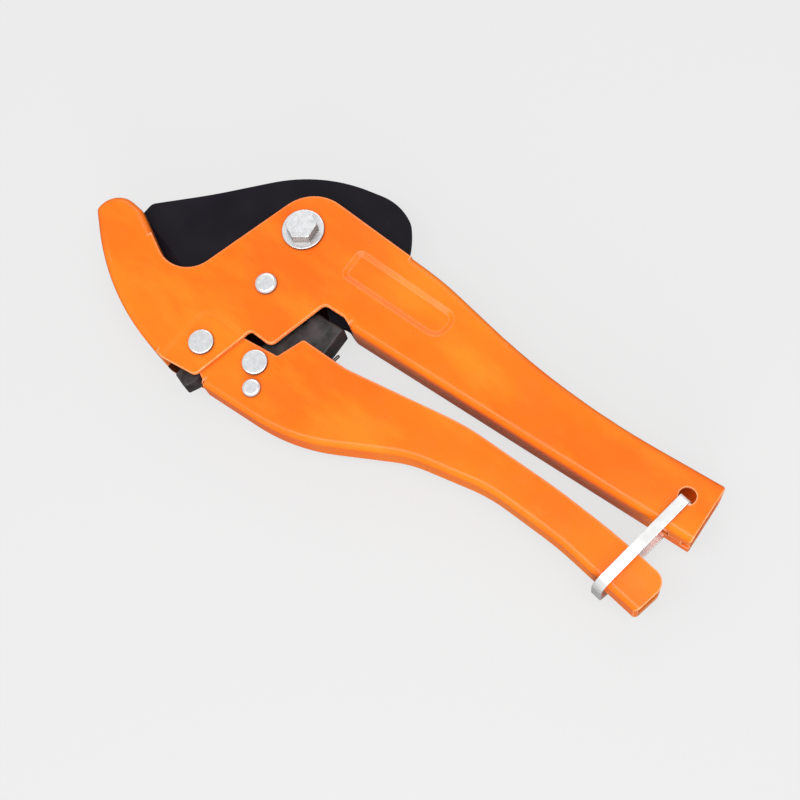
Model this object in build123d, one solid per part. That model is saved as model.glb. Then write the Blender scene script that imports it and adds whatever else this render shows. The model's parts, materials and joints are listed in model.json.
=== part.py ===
"""Ratchet pipe cutter of pressed steel, shown closed with its lock bail engaged.

It lies flat: +X runs along the fixed handle, +Y points to the blade side and +Z is up, square to the
side plates. Shapes are drawn about the blade's pivot on the mid plane, and the finished pieces are then
moved so that the origin is the centre of the footprint, on the surface that the tool lies on.
"""

import os
from math import acos, atan2, cos, degrees, hypot, radians, sin

from build123d import *

# --- driving dimensions, in millimetres and degrees ---
SHEET = 1.5  # sheet thickness of the frame and the handle
FRAME_HALF = 9.0  # half of the frame's width across its two plates
FRAME_BEND = 2.4  # outer bend radius of the frame's folded edges
HANDLE_HALF = 7.15  # half of the moving handle's width
HANDLE_BEND = 2.2
PAWL_HALF = 5.3  # half of the pawl lever's width
BLADE_HALF = 1.5  # half of the blade's thickness
SEAM_GAP = 0.1  # half of the groove where the two frame shells meet
RUNNING = 0.05  # radial clearance of a shaft in its hole

BLADE_PIVOT = (0.0, 0.0)
HANDLE_PIVOT = (0.0, -54.6)
PAWL_PIVOT = (19.6, -47.9)
SPRING_POST = (25.0, -55.6)
STOP_PIN = (3.3, -23.7)
BAIL_HOLE = (164.7, 8.4)

BLADE_OPEN = 67.0  # degrees that the blade swings open
PIPE_RADIUS = 21.0  # the largest pipe that the jaw takes
PIPE_SEAT = (-37.7, -14.8)  # centre of that pipe, resting in the jaw

BOLT_RADIUS = 3.0
BUSH_RADIUS = 5.0
WASHER_RADIUS = 7.7
WASHER_THICK = 1.2
HEX_FLATS = 10.0
HEX_HEIGHT = 4.2
HEX_TURN = 38.6  # how far the tightened bolt's corners stand from the X axis
NUT_HEIGHT = 3.2
RIVET_RADIUS = 3.0
RIVET_HEAD = 4.6
RIVET_HEAD_THICK = 1.3
POST_RADIUS = 2.0
POST_HEAD = 3.4
STOP_RADIUS = 2.5
STOP_HEAD = 4.1
STOP_SLEEVE = 3.4
BAIL_HOLE_RADIUS = 3.0

TOOTH_TIP = 38.2  # radius of the ratchet's tooth tips about the blade pivot
TOOTH_DEPTH = 2.4
TOOTH_PITCH = 8.0
TOOTH_FIRST = -31.0  # angle of the first tooth gap
TOOTH_COUNT = 6
HUB_RADIUS = 19.6
HOOK_RING = 28.8  # inner radius of the toothed ring that reaches past the stop pin

SECTOR_START = -6.5  # where the toothed sector begins beside the stop pin's gap
EDGE_TIP = (-55.4, -33.6)
EDGE_HEEL = (-21.5, -41.0)
BEVEL_WIDTH = 3.0

PAWL_NOSE = (33.8, -18.55)  # inner top corner of the pawl's web
PAWL_BOSS = 6.3
PAWL_WIRE = 0.6
PAWL_SPRING_RADIUS = 5.3
PAWL_SPRING_PITCH = 1.4
PAWL_SPRING_TURNS = 5
WEB_LEG = 119.9  # angles about the pawl rivet where the spring's legs leave its coil
POST_LEG = -127.7

BLADE_WIRE = 0.7
BLADE_COIL = 7.5
BLADE_COIL_PITCH = 1.6
SPRING_ANCHOR = (11.5, 9.0)  # hole in the blade for the spring's moving leg

BLADE_SLOT = 2.6  # half of the slot that the blade passes in the jaw's edge
PLATE_EDGE = 0.5  # rounding of the plain sheared edges
PRESSED = 0.6  # depth of the recess in the handle's sides
PRESSED_SLOPE = 72.0  # how far its walls lean from upright
SEAT = 0.25  # depth of the area round the handle pivot, pressed in towards the moving handle
SEAT_SLOPE = 82.0
SPINE_END = -10.6  # where the fold along the hook's back stops, clear of the pivot block's tail
JAW_ROLL_END = -44.0  # where the hook's rolled edge turns into the jaw's plain flange
TOP_FOLD_START = 37.5
UNDER_FOLD_START = 36.6
HANDLE_BOSS = 9.8
BLOCK_RADIUS = 8.4
TAIL_HALF = 3.9  # half of the thickness of the pivot block's tail

BAIL_WIDTH = 3.9
BAIL_TAB = 3.6
BAIL_GAP = 0.3
BAIL_BEND = 4.6
BAIL_THICK = 1.0
BAIL_DROP = 42.2  # from the hole's centre to the inside of the bail's cross bar
BAIL_SINK = 1.3  # how far the bail's tabs lie below the hole's centre
BAIL_LEAN = 5.0  # degrees that the engaged bail leans back towards the jaw

FRAME_HOLES = (
    (BLADE_PIVOT, BOLT_RADIUS + RUNNING),
    (HANDLE_PIVOT, RIVET_RADIUS + RUNNING),
    (STOP_PIN, STOP_RADIUS + RUNNING),
    (BAIL_HOLE, BAIL_HOLE_RADIUS),
)


def profile(corners):
    """A flat face from (x, y, corner radius) rows."""
    points = [(x, y) for x, y, _ in corners]
    return make_face(FilletPolyline(*points, radius=[r for _, _, r in corners], close=True))


def slab(face, low, high):
    """The face's shape between two heights."""
    return Pos(0, 0, low) * extrude(face, high - low, dir=(0, 0, 1))


def disc(centre, radius):
    return Pos(*centre) * Circle(radius)


def rod(centre, radius, low, high):
    return Pos(centre[0], centre[1], low) * Cylinder(
        radius, high - low, align=(Align.CENTER, Align.CENTER, Align.MIN)
    )


def tube(centre, outer, inner, low, high):
    return rod(centre, outer, low, high) - rod(centre, inner, low - 1, high + 1)


def polar(radius, angle):
    return (radius * cos(radians(angle)), radius * sin(radians(angle)))


def turned(point, angle):
    """A point turned about the blade pivot."""
    return polar(hypot(*point), degrees(atan2(point[1], point[0])) + angle)


def ring_sector(inner, outer, start, end):
    """The part of a ring about the blade pivot between two angles."""
    middle = (start + end) / 2
    edges = [
        ThreePointArc(polar(outer, start), polar(outer, middle), polar(outer, end)),
        Line(polar(outer, end), polar(inner, end)),
        ThreePointArc(polar(inner, end), polar(inner, middle), polar(inner, start)),
        Line(polar(inner, start), polar(outer, start)),
    ]
    return make_face(edges)


def edges_at(shape, height):
    """Edges that lie flat at one height."""
    return [
        e
        for e in shape.edges()
        if abs(e.bounding_box().min.Z - height) < 1e-4 and abs(e.bounding_box().max.Z - height) < 1e-4
    ]


def folded_pan(outline, low, high, bend):
    """Half of a box folded from sheet: its side at the high end and a wall all round."""
    block = slab(outline, low, high)
    block = fillet(edges_at(block, high), bend)
    hollow = slab(offset(outline, -SHEET, kind=Kind.INTERSECTION), -1, high - SHEET)
    return block - fillet(edges_at(hollow, high - SHEET), bend - SHEET)


# --- frame: two pressed shells that meet on the mid plane ---
def frame_outline(beyond=0.0):
    """Plan outline of the frame, with its handle end moved out by the given length."""
    return profile([
        (172.6 + beyond, 19.0 + 0.14 * beyond, 1.5),
        (112.0, 10.6, 300.0),
        (52.0, 16.8, 120.0),
        (-8.8, 15.6, 15.5),
        (-23.3, -44.3, 12.0),
        (-53.6, -30.7, 2.0),
        (-66.9, -30.2, 8.5),
        (-67.4, -40.9, 2.5),
        (-39.6, -63.8, 95.0),
        (-8.2, -67.7, 10.0),
        (6.4, -64.9, 2.5),
        (10.9, -40.3, 1.6),
        (20.3, -40.0, 3.0),
        (25.0, -16.4, 2.0),
        (33.4, -15.6, 2.5),
        (38.4, -17.3, 3.0),
        (100.0, -11.0, 400.0),
        (175.1 + beyond, -3.2 + 0.105 * beyond, 0.8),
    ])


def frame_folds():
    """Plan areas where the frame's edge is folded over to the mid plane: hook, top and underside."""
    hook = Polygon((-75, -75), (SPINE_END, -75), (SPINE_END, -50), (-50, -44), (-58, -39),
                   (-58, -20), (-75, -20), align=None)
    top = Polygon((TOP_FOLD_START, 0), (200, 0), (200, 40), (TOP_FOLD_START, 40), align=None)
    under = Polygon((UNDER_FOLD_START, -40), (200, -40), (200, 0), (UNDER_FOLD_START, 0), align=None)
    return hook + top + under


def jaw_roll():
    """Plan area where the hook's inner edge is rolled in, beside the slot for the blade."""
    return Polygon((-58, -20), (-58, -39), (-50, -44), (JAW_ROLL_END, -46), (JAW_ROLL_END, -20), align=None)


def jaw_flange():
    """Plan area where the jaw's floor is turned in square, beside the slot for the blade."""
    return Polygon((JAW_ROLL_END, -20), (JAW_ROLL_END, -46), (-24, -50), (-17, -36), (-22.5, -31), (-24, -20),
                   align=None)


def pressed_recess():
    """Plan outline of the long recess pressed into each side of the handle."""
    return profile([(20.8, 7.4, 2.5), (21.8, -4.8, 3.0), (65.2, -2.0, 5.5), (65.6, 9.8, 4.5)])


def pivot_seat():
    """Plan outline of the area around the handle pivot that is pressed inwards."""
    return profile([(-9.0, -70.0, 0.0), (-8.6, -42.6, 7.0), (20.0, -42.0, 0.0), (20.0, -70.0, 0.0)])


def underside_cuts():
    """The tapering slot, the square notch and the end notch in the seam under the handle."""
    slot = Polygon((30, 1.9), (53, 1.7), (60, 0), (53, -1.7), (30, -1.9), align=None)
    notch = Pos(165.3, 0) * Rectangle(3.4, 4.4)
    mouth = Pos(176.0, 0) * Rectangle(8.0, 5.2)
    return Pos(0, 5, 0) * extrude(Plane.XZ * (slot + notch + mouth), 35)


def frame_shell():
    """The front shell: a flat plate with folded edges, its recess and the seat around the pivot."""
    outline = frame_outline(beyond=10)
    pan = folded_pan(outline, SEAM_GAP, FRAME_HALF, FRAME_BEND)
    plate = slab(outline, FRAME_HALF - SHEET, FRAME_HALF)
    plate = fillet(edges_at(plate, FRAME_HALF), PLATE_EDGE)
    folds = slab(frame_folds(), -1, 20)
    roll = slab(jaw_roll(), -1, 20)
    shell = (pan & folds) + (pan & slab(jaw_roll(), BLADE_SLOT, 20)) + (plate - folds - roll)
    wall = outline - offset(outline, -SHEET, kind=Kind.INTERSECTION)
    shell += slab(wall & jaw_flange(), BLADE_SLOT, FRAME_HALF - SHEET + 0.1)
    shell &= slab(frame_outline(), 0, 20)
    recess = extrude(pressed_recess(), PRESSED, dir=(0, 0, -1), taper=PRESSED_SLOPE)
    shell += Pos(0, 0, FRAME_HALF - SHEET) * recess
    shell -= Pos(0, 0, FRAME_HALF) * recess
    seat = extrude(pivot_seat(), SEAT, dir=(0, 0, -1), taper=SEAT_SLOPE)
    shell += Pos(0, 0, FRAME_HALF - SHEET) * seat & slab(frame_outline(), 0, 20)
    shell -= Pos(0, 0, FRAME_HALF) * seat
    shell -= underside_cuts()
    for centre, radius in FRAME_HOLES:
        shell -= rod(centre, radius, 0, 20)
    return shell


# --- moving handle ---
def handle_outline(beyond=0.0):
    """Plan outline of the moving handle, with its end moved out by the given length."""
    blank = profile([
        (4.0, -62.0, 0.0),
        (8.9, -64.2, 0.5),
        (9.9, -65.8, 0.3),
        (47.5, -61.6, 70.0),
        (83.2, -39.4, 45.0),
        (112.0, -31.1, 60.0),
        (141.0, -29.9, 120.0),
        (175.4 + beyond, -32.9, 3.0),
        (177.5 + beyond, -17.4, 5.0),
        (152.0, -16.0, 200.0),
        (130.0, -16.2, 200.0),
        (92.0, -18.6, 90.0),
        (46.0, -29.3, 25.0),
        (27.2, -30.6, 1.4),
        (24.0, -41.0, 0.6),
        (-2.0, -45.6, 4.0),
    ])
    return blank + disc(HANDLE_PIVOT, HANDLE_BOSS)


def handle_fold():
    """Plan area where the moving handle's sheet is folded round its outer edge."""
    return Polygon((9.7, -80), (200, -80), (200, -24), (150, -24), (112, -25), (82, -33), (56, -50),
                   (40, -56), (9.7, -60), align=None)


def moving_handle():
    """One sheet folded into a channel that is open towards the fixed handle."""
    outline = handle_outline(beyond=10)
    half = folded_pan(outline, 0, HANDLE_HALF, HANDLE_BEND)
    plate = slab(outline, HANDLE_HALF - SHEET, HANDLE_HALF)
    plate = fillet(edges_at(plate, HANDLE_HALF), PLATE_EDGE)
    fold = slab(handle_fold(), -1, 20)
    half = ((half & fold) + (plate - fold)) & slab(handle_outline(), 0, 20)
    for centre, radius in ((HANDLE_PIVOT, RIVET_RADIUS), (PAWL_PIVOT, RIVET_RADIUS),
                           (SPRING_POST, POST_RADIUS)):
        half -= rod(centre, radius + RUNNING, -1, 20)
    return half + mirror(half, about=Plane.XY)


def pivot_block():
    """The hard block between the handle's sides. Its tail meets the frame's spine at full opening."""
    half = HANDLE_HALF - SHEET - 0.05
    tail = profile([(-0.9, -54.6, 0.0), (-1.2, -68.7, 0.8), (4.3, -70.1, 0.8), (6.1, -66.0, 1.5),
                    (6.1, -54.6, 0.0)])
    block = slab(disc(HANDLE_PIVOT, BLOCK_RADIUS), -half, half) + slab(tail, -TAIL_HALF, TAIL_HALF)
    return block - rod(HANDLE_PIVOT, RIVET_RADIUS + RUNNING, -20, 20)


# --- pawl ---
def pawl_lever():
    """A pressed channel: two cheeks on the pawl rivet, joined by a web whose top edge is the nose."""
    x, y = PAWL_NOSE
    cheek = profile([(23.4, -19.6, 2.0), (x + SHEET, y + 0.3, 0.4), (x + 2.7, y - 12.4, 1.5),
                     (30.5, -43.0, 7.0), (19.0, -51.0, 4.0), (13.6, -47.5, 4.0), (19.0, -34.0, 8.0)])
    cheek += disc(PAWL_PIVOT, PAWL_BOSS)
    web = Polygon((x, y), (x + SHEET, y + 0.3), (x + 2.7, y - 12.4), (x + 1.2, y - 12.6), align=None)
    lever = slab(cheek, -PAWL_HALF, PAWL_HALF)
    lever -= slab(cheek, SHEET - PAWL_HALF, PAWL_HALF - SHEET)
    lever += slab(web & cheek, -PAWL_HALF, PAWL_HALF)
    web_edges = [
        e for e in lever.edges()
        if e.length > 8 and e.center().X > x + 1.6 and abs(abs(e.center().Z) - PAWL_HALF) < 1e-3
    ]
    lever = fillet(web_edges, 1.2)
    return lever - rod(PAWL_PIVOT, RIVET_RADIUS + RUNNING, -20, 20)


def coil(centre, radius, wire, low, pitch, turns, start):
    """A close wound coil as a swept helix that starts at an angle."""
    path = Helix(pitch=pitch, height=pitch * turns, radius=radius)
    section = Plane(origin=path @ 0, z_dir=path % 0) * Circle(wire)
    return Pos(centre[0], centre[1], low) * Rot(0, 0, start) * sweep(section, path=path, is_frenet=True)


def wire_run(points, wire):
    """Straight wire through the points, with a ball at each so that the runs join."""
    run = Sphere(wire).moved(Location(points[0]))
    for a, b in zip(points, points[1:]):
        line = Line(a, b)
        run += extrude(Plane(origin=a, z_dir=line % 0) * Circle(wire), line.length)
        run += Sphere(wire).moved(Location(b))
    return run


def pawl_spring():
    """Torsion spring on the pawl rivet: one leg on its post, the other hooked behind the web."""
    turns = PAWL_SPRING_TURNS + (POST_LEG - WEB_LEG) / 360
    low = -PAWL_SPRING_PITCH * turns / 2
    winding = coil(PAWL_PIVOT, PAWL_SPRING_RADIUS, PAWL_WIRE, low, PAWL_SPRING_PITCH, turns, WEB_LEG)
    x, y = polar(PAWL_SPRING_RADIUS, WEB_LEG)
    web_start = (PAWL_PIVOT[0] + x, PAWL_PIVOT[1] + y, low)
    web_leg = wire_run([web_start, (37.0, -31.8, low), (37.6, -26.0, low)], PAWL_WIRE)
    x, y = polar(PAWL_SPRING_RADIUS, POST_LEG)
    post_start = (PAWL_PIVOT[0] + x, PAWL_PIVOT[1] + y, -low)
    under = SPRING_POST[1] - POST_RADIUS - PAWL_WIRE - 0.1
    post_leg = wire_run([post_start, (SPRING_POST[0] - 1, under, -low), (SPRING_POST[0] + 4, under, -low)],
                        PAWL_WIRE)
    return winding + web_leg + post_leg


# --- blade ---
def blade():
    """The blade: curved cutting arm, hub and ratchet sector, ground to an edge from both sides."""
    arm = profile([(-55.4, -34.0, 1.0), (-55.6, -25.6, 3.5), (-39.8, -8.6, 200.0), (-13.4, 23.4, 60.0),
                   (22.6, 33.0, 21.0), (42.0, 12.6, 0), (10.0, -6.0, 0), (-20.0, -41.6, 0)])
    seat = turned(PIPE_SEAT, BLADE_OPEN)
    arm -= disc(seat, PIPE_RADIUS)
    arm -= Polygon((0, 0), (60, 0), (60, 60), (20, 60), align=None) - disc((0, 0), TOOTH_TIP)
    plan = arm - ring_sector(HUB_RADIUS, 90, -110, SECTOR_START)
    plan += disc((0, 0), HUB_RADIUS)
    plan += ring_sector(HUB_RADIUS - 2, TOOTH_TIP, SECTOR_START, 20)
    plan += ring_sector(HOOK_RING, TOOTH_TIP, TOOTH_FIRST - 2.5, SECTOR_START + 0.5)
    for tooth in range(TOOTH_COUNT):
        plan -= tooth_gap(TOOTH_FIRST + tooth * TOOTH_PITCH)
    plan -= disc((0, 0), BUSH_RADIUS + RUNNING)
    plan -= disc(SPRING_ANCHOR, BLADE_WIRE + 0.3)
    body = slab(plan, -BLADE_HALF, BLADE_HALF)
    for side in (1, -1):
        body -= bevel_cutter(side)
    return body


def tooth_gap(angle):
    """A saw-tooth gap whose steep flank takes the nose's push."""
    root = TOOTH_TIP - TOOTH_DEPTH
    return Polygon(polar(TOOTH_TIP + 1.5, angle - 0.5), polar(root, angle + 0.3),
                   polar(TOOTH_TIP + 1.5, angle + TOOTH_PITCH - 1.2), align=None)


def bevel_cutter(side):
    """The wedge ground away from one side of the cutting edge."""
    (x0, y0), (x1, y1) = EDGE_TIP, EDGE_HEEL
    length = hypot(x1 - x0, y1 - y0)
    lean = degrees(atan2(y1 - y0, x1 - x0))
    section = Polygon((-2, 0.12), (BEVEL_WIDTH, BLADE_HALF), (BEVEL_WIDTH, 5), (-2, 5), align=None)
    wedge = extrude(Plane.YZ * section, length + 16)
    wedge = Pos(x0, y0) * Rot(0, 0, lean) * Pos(-8, 0, 0) * wedge
    return wedge if side > 0 else mirror(wedge, about=Plane.XY)


def blade_spring():
    """Torsion spring round the rear spacer: one leg on the stop sleeve, one pinned in the blade."""
    reach = STOP_SLEEVE + BLADE_WIRE + 0.05
    distance = hypot(*STOP_PIN)
    normal = degrees(atan2(STOP_PIN[1], STOP_PIN[0])) - degrees(acos((BLADE_COIL - reach) / distance))
    low = -FRAME_HALF + SHEET + BLADE_WIRE + 0.3
    anchor_angle = degrees(atan2(SPRING_ANCHOR[1], SPRING_ANCHOR[0]))
    turns = 2 + (anchor_angle - normal) / 360
    winding = coil((0, 0), BLADE_COIL, BLADE_WIRE, low, BLADE_COIL_PITCH, turns, normal)
    high = low + BLADE_COIL_PITCH * turns
    first = (*polar(BLADE_COIL, normal), low)
    nx, ny = polar(reach, normal)
    past = (STOP_PIN[0] + nx + 0.6, STOP_PIN[1] + ny - 3.5, low)
    fixed_leg = wire_run([first, (STOP_PIN[0] + nx, STOP_PIN[1] + ny, low), past], BLADE_WIRE)
    last = (*polar(BLADE_COIL, anchor_angle), high)
    moving_leg = wire_run([last, (*SPRING_ANCHOR, high), (*SPRING_ANCHOR, BLADE_HALF - 0.8)], BLADE_WIRE)
    return winding + fixed_leg + moving_leg


# --- fasteners ---
def hexagon(flats, low, high):
    """A hexagonal prism with its upper corners turned off."""
    prism = slab(RegularPolygon(flats / 2, 6, major_radius=False), low, high)
    cone = rod((0, 0), flats * 0.59, low, high)
    return Rot(0, 0, HEX_TURN) * (prism & chamfer(edges_at(cone, high), 0.4, 0.55))


def pivot_bolt():
    head = hexagon(HEX_FLATS, FRAME_HALF + WASHER_THICK, FRAME_HALF + WASHER_THICK + HEX_HEIGHT)
    end = -FRAME_HALF - WASHER_THICK - NUT_HEIGHT - 0.6
    shank = rod(BLADE_PIVOT, BOLT_RADIUS, end, FRAME_HALF + WASHER_THICK)
    return head + chamfer(edges_at(shank, end), 0.5)


def lock_nut():
    nut = mirror(hexagon(HEX_FLATS, FRAME_HALF + WASHER_THICK, FRAME_HALF + WASHER_THICK + NUT_HEIGHT),
                 about=Plane.XY)
    return nut - rod(BLADE_PIVOT, BOLT_RADIUS + 0.02, -20, 20)


def washer(low):
    ring = tube(BLADE_PIVOT, WASHER_RADIUS, BOLT_RADIUS + RUNNING, low, low + WASHER_THICK)
    rims = [e for e in ring.edges() if e.geom_type == GeomType.CIRCLE and e.radius > WASHER_RADIUS - 0.01]
    return fillet(rims, 0.3)


def rivet(centre, radius, head_radius, thick, half, domed):
    """A rivet through both sides at plus and minus half, with a formed head at each end."""
    body = rod(centre, radius, -half, half)
    head = rod(centre, head_radius, half, half + thick)
    rim = edges_at(head, half + thick)
    head = fillet(rim, thick * 0.85) if domed else fillet(rim, thick * 0.35)
    return body + head + mirror(head, about=Plane.XY)


# --- lock bail ---
def lock_bail():
    """A flat strip bent into a U that holds the handles shut, its ends turned into the handle's hole."""
    inside = FRAME_HALF + BAIL_GAP
    outside = inside + BAIL_THICK
    foot = -BAIL_DROP - BAIL_THICK
    top = BAIL_THICK / 2 - BAIL_SINK
    loop = Pos((foot + top) / 2, 0) * Rectangle(top - foot, 2 * outside)
    loop = fillet(loop.vertices().group_by(Axis.X)[0], BAIL_BEND + BAIL_THICK)
    loop = fillet(loop.vertices().group_by(Axis.X)[-1], BAIL_THICK)
    space = Pos((top - BAIL_THICK - BAIL_DROP) / 2, 0) * Rectangle(BAIL_DROP + top - BAIL_THICK, 2 * inside)
    space = fillet(space.vertices().group_by(Axis.X)[0], BAIL_BEND)
    mouth = Pos(-BAIL_SINK, 0) * Rectangle(2 * BAIL_THICK, 2 * (FRAME_HALF - SHEET - 1.0))
    slot = Pos(-BAIL_SINK - BAIL_THICK, 0) * Rectangle(BAIL_THICK, 2 * inside)
    section = loop - space - mouth - slot
    strip = extrude(Plane((0, 0, 0), x_dir=(0, 1, 0), z_dir=(1, 0, 0)) * section, BAIL_WIDTH / 2, both=True)
    narrow = Box(2 * BAIL_WIDTH, 4, 2 * FRAME_HALF + 0.2) - Box(BAIL_TAB, 8, 60)
    strip -= Pos(0, -BAIL_SINK) * narrow
    return Pos(*BAIL_HOLE) * Rot(0, 0, -BAIL_LEAN) * strip


def pieces():
    """Every piece by its name, about the blade's pivot."""
    inside = FRAME_HALF - SHEET
    shell = frame_shell()
    made = {
        "frame_front_shell": shell,
        "frame_back_shell": mirror(shell, about=Plane.XY),
        "blade_pivot_bolt": pivot_bolt(),
        "bolt_washer_front": washer(FRAME_HALF),
        "bolt_washer_back": washer(-FRAME_HALF - WASHER_THICK),
        "lock_nut": lock_nut(),
        "blade_pivot_bush": tube(BLADE_PIVOT, BUSH_RADIUS, BOLT_RADIUS + RUNNING, -inside, inside),
        "blade_spacer_front": tube(BLADE_PIVOT, 8.0, BUSH_RADIUS + RUNNING, BLADE_HALF + 0.1, inside),
        "blade_spacer_back": tube(BLADE_PIVOT, 6.2, BUSH_RADIUS + RUNNING, -inside, -BLADE_HALF - 0.1),
        "blade_stop_rivet": rivet(STOP_PIN, STOP_RADIUS, STOP_HEAD, 1.5, FRAME_HALF, True),
        "blade_stop_sleeve": tube(STOP_PIN, STOP_SLEEVE, STOP_RADIUS + RUNNING, -inside, inside),
        "handle_pivot_rivet": rivet(HANDLE_PIVOT, RIVET_RADIUS, RIVET_HEAD, RIVET_HEAD_THICK,
                                    FRAME_HALF - SEAT, False),
        "blade": blade(),
        "blade_spring": blade_spring(),
        "moving_handle": moving_handle(),
        "pivot_block": pivot_block(),
        "pawl_rivet": rivet(PAWL_PIVOT, RIVET_RADIUS, RIVET_HEAD, RIVET_HEAD_THICK, HANDLE_HALF, False),
        "pawl_sleeve": tube(PAWL_PIVOT, 4.2, RIVET_RADIUS + RUNNING, -PAWL_HALF + SHEET + 0.05,
                            PAWL_HALF - SHEET - 0.05),
        "spring_post": rivet(SPRING_POST, POST_RADIUS, POST_HEAD, 1.3, HANDLE_HALF, True),
        "pawl_lever": pawl_lever(),
        "pawl_spring": pawl_spring(),
        "lock_bail": lock_bail(),
    }
    return made


def main():
    made = pieces()
    box = Compound(list(made.values())).bounding_box()
    centre = (box.min + box.max) / 2
    place = Pos(-centre.X, -centre.Y, -box.min.Z)
    print("blade pivot, mid plane, is at", -centre.X, -centre.Y, -box.min.Z)
    print("size", box.size)
    os.makedirs("parts", exist_ok=True)
    for name, shape in made.items():
        export_step(place * shape, "parts/" + name + ".step")


main()
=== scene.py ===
"""Looks of the ratchet pipe cutter: its enamel, plating, blade coating and bail, and the studio."""

import json
from math import radians

import bpy
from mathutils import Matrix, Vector


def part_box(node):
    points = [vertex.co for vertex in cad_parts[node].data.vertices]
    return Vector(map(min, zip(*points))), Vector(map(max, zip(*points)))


MM = 0.001
MIDDLE = 14.0  # height of the plane halfway between the side plates, in millimetres
FLOOR_SIZE = 8.0  # metres
FLOOR_DROP = 0.2  # how far the floor lies under the tool, in millimetres
FLOOR_GLOW = 0.70
LENS = 65.1
SENSOR = 36.0
CAMERA_OFFSET = (207.38, -105.03, 479.0)  # from the pivot bolt, in millimetres
CAMERA_ANGLES = (17.606, 6.425, 40.944)
PICTURE_TURN = 40.9  # how far the softbox is turned, to lie square to the picture


# --- shader helpers ---
def material(name):
    """A new material, its node tree and its Principled shader."""
    made = bpy.data.materials.new(name)
    made.use_nodes = True
    return made, made.node_tree, made.node_tree.nodes["Principled BSDF"]


def noise(tree, size, detail=3.0, roughness=0.5, stretch=(1, 1, 1)):
    """Noise whose features are about size millimetres wide, drawn out by stretch along each axis."""
    node = tree.nodes.new("ShaderNodeTexNoise")
    node.inputs["Scale"].default_value = 1 / (size * MM)
    node.inputs["Detail"].default_value = detail
    node.inputs["Roughness"].default_value = roughness
    mapping = tree.nodes.new("ShaderNodeMapping")
    mapping.inputs["Scale"].default_value = [1 / s for s in stretch]
    place = tree.nodes.new("ShaderNodeTexCoord").outputs["Object"]
    tree.links.new(place, mapping.inputs["Vector"])
    tree.links.new(mapping.outputs["Vector"], node.inputs["Vector"])
    return node.outputs["Fac"]


def ramp(tree, source, stops):
    """Maps a factor to colours or greys given as (position, value) stops."""
    node = tree.nodes.new("ShaderNodeValToRGB")
    elements = node.color_ramp.elements
    while len(elements) < len(stops):
        elements.new(0.5)
    for element, (position, value) in zip(elements, stops):
        element.position = position
        element.color = (*value, 1) if isinstance(value, tuple) else (value, value, value, 1)
    tree.links.new(source, node.inputs["Fac"])
    return node.outputs["Color"]


def mix(tree, factor, a, b):
    """Mixes two colours, each a socket or an (r, g, b) value."""
    node = tree.nodes.new("ShaderNodeMix")
    node.data_type = "RGBA"
    tree.links.new(factor, node.inputs[0])
    for socket, value in ((node.inputs[6], a), (node.inputs[7], b)):
        if isinstance(value, tuple):
            socket.default_value = (*value, 1)
        else:
            tree.links.new(value, socket)
    return node.outputs[2]


def product(tree, a, b):
    """The product of two factors."""
    node = tree.nodes.new("ShaderNodeMath")
    node.operation = "MULTIPLY"
    tree.links.new(a, node.inputs[0])
    tree.links.new(b, node.inputs[1])
    return node.outputs[0]


def rounded_normal(tree, radius):
    """The surface normal as if edges were rounded to a radius in millimetres."""
    node = tree.nodes.new("ShaderNodeBevel")
    node.samples = 6
    node.inputs["Radius"].default_value = radius * MM
    return node.outputs["Normal"]


def edges(tree, radius, low, high):
    """White within about a radius of every sharp edge."""
    geometry = tree.nodes.new("ShaderNodeNewGeometry")
    dot = tree.nodes.new("ShaderNodeVectorMath")
    dot.operation = "DOT_PRODUCT"
    tree.links.new(rounded_normal(tree, radius), dot.inputs[0])
    tree.links.new(geometry.outputs["Normal"], dot.inputs[1])
    return ramp(tree, dot.outputs["Value"], [(low, 1.0), (high, 0.0)])


def crevices(tree, reach):
    """Dark where the surface is shut in within a reach in millimetres."""
    node = tree.nodes.new("ShaderNodeAmbientOcclusion")
    node.samples = 6
    node.inputs["Distance"].default_value = reach * MM
    return node.outputs["AO"]


def upright_faces(tree):
    """White on faces that stand square to the side plates."""
    facing = tree.nodes.new("ShaderNodeSeparateXYZ")
    place = tree.nodes.new("ShaderNodeTexCoord")
    tree.links.new(place.outputs["Normal"], facing.inputs["Vector"])
    return ramp(tree, product(tree, facing.outputs["Z"], facing.outputs["Z"]), [(0.05, 1.0), (0.3, 0.0)])


def away_from_ends(tree):
    """White along the tool, falling off towards the open ends of the handles."""
    split = tree.nodes.new("ShaderNodeSeparateXYZ")
    tree.links.new(tree.nodes.new("ShaderNodeTexCoord").outputs["Object"], split.inputs["Vector"])
    along = tree.nodes.new("ShaderNodeMapRange")
    along.inputs["From Min"].default_value = 60 * MM
    along.inputs["From Max"].default_value = 115 * MM
    along.inputs["To Min"].default_value = 1.0
    along.inputs["To Max"].default_value = 0.3
    tree.links.new(split.outputs["X"], along.inputs["Value"])
    return along.outputs["Result"]


def inner_faces(tree):
    """White on faces that look inwards, towards the plane halfway between the plates."""
    place = tree.nodes.new("ShaderNodeTexCoord")
    height = tree.nodes.new("ShaderNodeSeparateXYZ")
    tree.links.new(place.outputs["Object"], height.inputs["Vector"])
    facing = tree.nodes.new("ShaderNodeSeparateXYZ")
    tree.links.new(place.outputs["Normal"], facing.inputs["Vector"])
    below = tree.nodes.new("ShaderNodeMath")
    below.operation = "SUBTRACT"
    below.inputs[0].default_value = MIDDLE * MM
    tree.links.new(height.outputs["Z"], below.inputs[1])
    towards = product(tree, below.outputs["Value"], facing.outputs["Z"])
    scaled = tree.nodes.new("ShaderNodeMapRange")
    scaled.inputs["From Min"].default_value = 2 * MM
    scaled.inputs["From Max"].default_value = 4 * MM
    tree.links.new(towards, scaled.inputs["Value"])
    return scaled.outputs["Result"]


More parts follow.
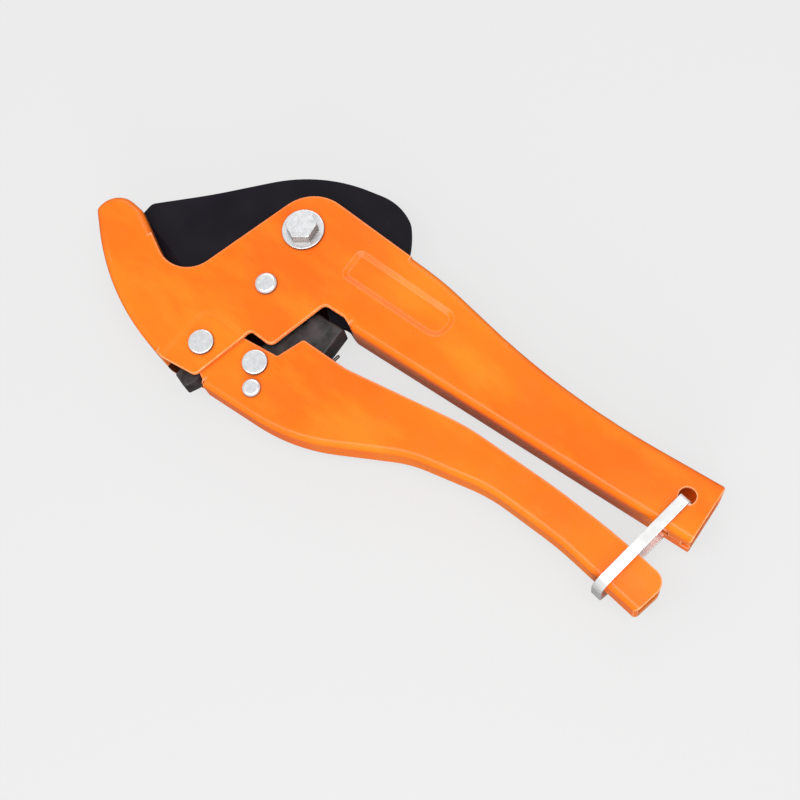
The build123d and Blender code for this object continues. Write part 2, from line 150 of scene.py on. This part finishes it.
def bump(tree, shader, layers, radius=0.0):
    """Stacks bump layers of (height socket, strength, depth in millimetres) into the normal."""
    normal = rounded_normal(tree, radius) if radius else None
    for height, strength, depth in layers:
        node = tree.nodes.new("ShaderNodeBump")
        node.inputs["Strength"].default_value = strength
        node.inputs["Distance"].default_value = depth * MM
        tree.links.new(height, node.inputs["Height"])
        if normal:
            tree.links.new(normal, node.inputs["Normal"])
        normal = node.outputs["Normal"]
    tree.links.new(normal, shader.inputs["Normal"])


# --- materials ---
def orange_paint():
    """Sprayed enamel: cloudy tone, slight orange peel, a patchy painted highlight on edges, painted shade in
    crevices and on the inner faces, and small grit specks.
    """
    made, tree, shader = material("orange_paint")
    clouds = noise(tree, 34, 3, 0.5, (1.8, 1, 1))
    base = ramp(tree, clouds, [(0.36, (0.95, 0.140, 0.003)), (0.66, (0.97, 0.200, 0.006))])
    streaks = ramp(tree, noise(tree, 15, 6, 0.62, (2.6, 1, 1)), [(0.47, 0.0), (0.74, 0.7)])
    colour = mix(tree, streaks, base, (0.98, 0.26, 0.012))
    patches = ramp(tree, noise(tree, 3, 4), [(0.25, 0.4), (0.7, 0.95)])
    # painted highlight: a pale peach tint along sharp edges, broken up in patches
    edge_highlight = product(tree, edges(tree, 0.9, 0.95, 0.9995), patches)
    colour = mix(tree, edge_highlight, colour, (1.0, 0.52, 0.27))
    # painted shade: deep red where the enamel is closed in within 2.5 mm
    shut = ramp(tree, crevices(tree, 2.5), [(0.2, 0.9), (0.75, 0.0)])
    colour = mix(tree, shut, colour, (0.30, 0.018, 0.004))
    # painted shade: near-black on faces looking in between the plates, fading towards the open handle ends
    inside_shade = product(tree, inner_faces(tree), away_from_ends(tree))
    colour = mix(tree, inside_shade, colour, (0.035, 0.008, 0.003))
    specks = ramp(tree, noise(tree, 1.1, 2, 0.4), [(0.765, 0.0), (0.785, 0.7)])
    colour = mix(tree, specks, colour, (0.30, 0.07, 0.02))
    tree.links.new(colour, shader.inputs["Base Color"])
    tree.links.new(ramp(tree, noise(tree, 9, 4), [(0.3, 0.2), (0.75, 0.32)]), shader.inputs["Roughness"])
    shader.inputs["Specular IOR Level"].default_value = 0.3
    layers = [
        (noise(tree, 16, 2), 0.35, 0.6),
        (noise(tree, 1.4, 2, 0.5), 0.14, 0.05),
        (specks, 0.2, 0.03),
    ]
    bump(tree, shader, layers, radius=0.35)
    return made


def zinc_steel():
    """Bright zinc plate: milky and finely pitted, with painted shade on upright faces and where it meets the
    paint.
    """
    made, tree, shader = material("zinc_steel")
    cloud = ramp(tree, noise(tree, 2.2, 5, 0.6), [(0.3, (0.86, 0.88, 0.91)), (0.7, (0.96, 0.97, 0.98))])
    # painted shade: dark brown on upright faces such as the hex sides
    sides = mix(tree, upright_faces(tree), cloud, (0.15, 0.11, 0.10))
    # painted shade: darker where the plating is closed in within 1.2 mm, as where it meets the paint
    shut = ramp(tree, crevices(tree, 1.2), [(0.35, 0.8), (0.7, 0.0)])
    tree.links.new(mix(tree, shut, sides, (0.10, 0.06, 0.045)), shader.inputs["Base Color"])
    shader.inputs["Metallic"].default_value = 0.75
    tree.links.new(ramp(tree, noise(tree, 1.6, 3), [(0.3, 0.2), (0.75, 0.34)]), shader.inputs["Roughness"])
    bump(tree, shader, [(noise(tree, 2.0, 2, 0.4), 0.10, 0.04)], radius=0.2)
    return made


def plain_steel():
    """Turned bare steel with an oily film."""
    made, tree, shader = material("plain_steel")
    cloud = ramp(tree, noise(tree, 4, 4), [(0.3, (0.26, 0.25, 0.24)), (0.7, (0.46, 0.45, 0.43))])
    tree.links.new(cloud, shader.inputs["Base Color"])
    shader.inputs["Metallic"].default_value = 1.0
    tree.links.new(ramp(tree, noise(tree, 3, 3), [(0.3, 0.25), (0.7, 0.45)]), shader.inputs["Roughness"])
    bump(tree, shader, [(noise(tree, 0.4, 2, 0.5, (6, 6, 1)), 0.3, 0.02)])
    return made


def blade_black():
    """Satin non-stick coating with a few pin specks, worn down along the edges."""
    made, tree, shader = material("blade_black")
    cloud = ramp(tree, noise(tree, 14, 4), [(0.3, (0.007, 0.006, 0.010)), (0.7, (0.012, 0.010, 0.015))])
    patches = ramp(tree, noise(tree, 2, 4), [(0.35, 0.0), (0.7, 0.8)])
    worn = product(tree, edges(tree, 0.3, 0.75, 0.98), patches)
    colour = mix(tree, worn, cloud, (0.13, 0.13, 0.135))
    specks = ramp(tree, noise(tree, 1.6, 2, 0.4), [(0.79, 0.0), (0.81, 0.6)])
    tree.links.new(mix(tree, specks, colour, (0.22, 0.22, 0.22)), shader.inputs["Base Color"])
    tree.links.new(ramp(tree, noise(tree, 4, 3), [(0.3, 0.42), (0.7, 0.55)]), shader.inputs["Roughness"])
    shader.inputs["Specular IOR Level"].default_value = 0.1
    bump(tree, shader, [(noise(tree, 0.5, 2), 0.15, 0.02)], radius=0.1)
    return made


def black_oxide():
    """Blackened pressed steel with handling scratches and bare edges."""
    made, tree, shader = material("black_oxide")
    cloud = ramp(tree, noise(tree, 6, 5), [(0.36, (0.006, 0.005, 0.005)), (0.64, (0.045, 0.035, 0.035))])
    scratch = ramp(tree, noise(tree, 0.8, 3, 0.5, (1, 9, 1)), [(0.62, 0.0), (0.72, 0.4)])
    colour = mix(tree, scratch, cloud, (0.16, 0.14, 0.14))
    patches = ramp(tree, noise(tree, 2, 3), [(0.35, 0.0), (0.7, 0.7)])
    worn = product(tree, edges(tree, 0.3, 0.75, 0.98), patches)
    tree.links.new(mix(tree, worn, colour, (0.3, 0.29, 0.28)), shader.inputs["Base Color"])
    tree.links.new(ramp(tree, noise(tree, 3, 3), [(0.3, 0.32), (0.7, 0.5)]), shader.inputs["Roughness"])
    bump(tree, shader, [(scratch, 0.15, 0.02), (noise(tree, 1.2, 3), 0.2, 0.04)], radius=0.2)
    return made


def spring_steel():
    """Drawn wire, slightly streaked."""
    made, tree, shader = material("spring_steel")
    cloud = ramp(tree, noise(tree, 1.5, 3), [(0.3, (0.08, 0.075, 0.07)), (0.7, (0.20, 0.19, 0.18))])
    tree.links.new(cloud, shader.inputs["Base Color"])
    shader.inputs["Metallic"].default_value = 1.0
    tree.links.new(ramp(tree, noise(tree, 1, 3), [(0.3, 0.28), (0.7, 0.45)]), shader.inputs["Roughness"])
    bump(tree, shader, [(noise(tree, 0.3, 2), 0.2, 0.01)])
    return made


def bright_steel():
    """Nickel-plated strip, mirror-bright with faint waves from rolling."""
    made, tree, shader = material("bright_steel")
    along = noise(tree, 7, 3, 0.5, (1, 3, 1))
    cloud = ramp(tree, along, [(0.3, (0.78, 0.78, 0.78)), (0.7, (0.93, 0.93, 0.92))])
    # painted shade: darker where the strip is closed in within 1 mm
    shut = ramp(tree, crevices(tree, 1.0), [(0.2, 0.8), (0.7, 0.0)])
    tree.links.new(mix(tree, shut, cloud, (0.2, 0.18, 0.17)), shader.inputs["Base Color"])
    shader.inputs["Metallic"].default_value = 0.55
    tree.links.new(ramp(tree, noise(tree, 6, 2), [(0.3, 0.2), (0.75, 0.3)]), shader.inputs["Roughness"])
    bump(tree, shader, [(noise(tree, 5, 2, 0.5, (1, 3, 1)), 0.12, 0.1)], radius=0.25)
    return made


def dress(frame, finishes):
    """Gives every CAD node the material of its slot."""
    for part in frame["record"]["subparts"]:
        for slot in frame["nodes"][part["node"]].material_slots:
            slot.material = finishes[part["material_slot"]]


# --- studio ---
def studio():
    """A pale floor that glows as a light table does, a soft sky, a wide overhead light and two small ones."""
    bpy.ops.mesh.primitive_plane_add(size=FLOOR_SIZE, location=(0, 0, -FLOOR_DROP * MM))
    floor = bpy.context.object
    floor.name = "floor"
    made, _, shader = material("floor")
    shader.inputs["Base Color"].default_value = (0.12, 0.12, 0.12, 1)
    shader.inputs["Roughness"].default_value = 1.0
    shader.inputs["Specular IOR Level"].default_value = 0.0
    shader.inputs["Emission Color"].default_value = (1, 1, 1, 1)
    shader.inputs["Emission Strength"].default_value = FLOOR_GLOW
    floor.data.materials.append(made)
    floor.visible_glossy = False
    floor.visible_diffuse = False
    sky()
    softbox = lamp("softbox", (0.12, -0.14, 0.80), 1.0, 4.7)
    softbox.data.shape = "RECTANGLE"
    softbox.data.size_y = 0.34
    softbox.rotation_euler = (0, 0, radians(PICTURE_TURN))
    front = lamp("front", (0.52, -0.60, 0.20), 0.5, 5.0)
    front.visible_glossy = False
    lamp("back", (-0.45, 0.52, 0.60), 0.6, 1.4)


def sky():
    """Light from all round, brighter above than below."""
    world = bpy.data.worlds.new("sky")
    world.use_nodes = True
    tree = world.node_tree
    split = tree.nodes.new("ShaderNodeSeparateXYZ")
    tree.links.new(tree.nodes.new("ShaderNodeTexCoord").outputs["Generated"], split.inputs["Vector"])
    shade = tree.nodes.new("ShaderNodeMapRange")
    shade.inputs["From Min"].default_value = -0.4
    shade.inputs["From Max"].default_value = 0.3
    shade.inputs["To Min"].default_value = 0.16
    shade.inputs["To Max"].default_value = 0.5
    tree.links.new(split.outputs["Z"], shade.inputs["Value"])
    background = tree.nodes["Background"]
    background.inputs["Color"].default_value = (1, 1, 1, 1)
    tree.links.new(shade.outputs["Result"], background.inputs["Strength"])
    bpy.context.scene.world = world


def lamp(name, place, size, power):
    """A round soft light aimed at the object's middle."""
    light = bpy.data.lights.new(name, "AREA")
    light.shape = "DISK"
    light.size = size
    light.energy = power
    held = bpy.data.objects.new(name, light)
    held.location = place
    held.rotation_euler = (-Vector(place)).to_track_quat("-Z", "Y").to_euler()
    bpy.context.scene.collection.objects.link(held)
    return held


def camera(bolt):
    """The camera looks down onto the front plate from beside the handles."""
    lens = bpy.data.cameras.new("camera")
    lens.lens = LENS
    lens.sensor_width = SENSOR
    lens.clip_start = 0.01
    held = bpy.data.objects.new("camera", lens)
    held.location = bolt + Vector(CAMERA_OFFSET) * MM
    held.rotation_euler = [radians(angle) for angle in CAMERA_ANGLES]
    bpy.context.scene.collection.objects.link(held)
    bpy.context.scene.camera = held


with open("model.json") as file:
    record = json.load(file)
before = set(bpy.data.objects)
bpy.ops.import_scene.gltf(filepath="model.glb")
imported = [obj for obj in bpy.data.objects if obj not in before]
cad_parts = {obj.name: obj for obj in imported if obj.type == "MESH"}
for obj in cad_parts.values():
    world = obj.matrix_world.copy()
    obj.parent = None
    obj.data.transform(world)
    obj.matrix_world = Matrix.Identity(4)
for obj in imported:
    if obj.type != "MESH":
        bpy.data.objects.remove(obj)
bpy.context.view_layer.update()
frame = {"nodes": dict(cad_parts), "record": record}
low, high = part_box("blade_pivot_bush")
bolt = (low + high) / 2
dress(frame, {
    "orange_paint": orange_paint(),
    "zinc_steel": zinc_steel(),
    "plain_steel": plain_steel(),
    "blade_black": blade_black(),
    "black_oxide": black_oxide(),
    "spring_steel": spring_steel(),
    "bright_steel": bright_steel(),
})
studio()
camera(bolt)
bpy.context.scene.view_settings.view_transform = "Standard"
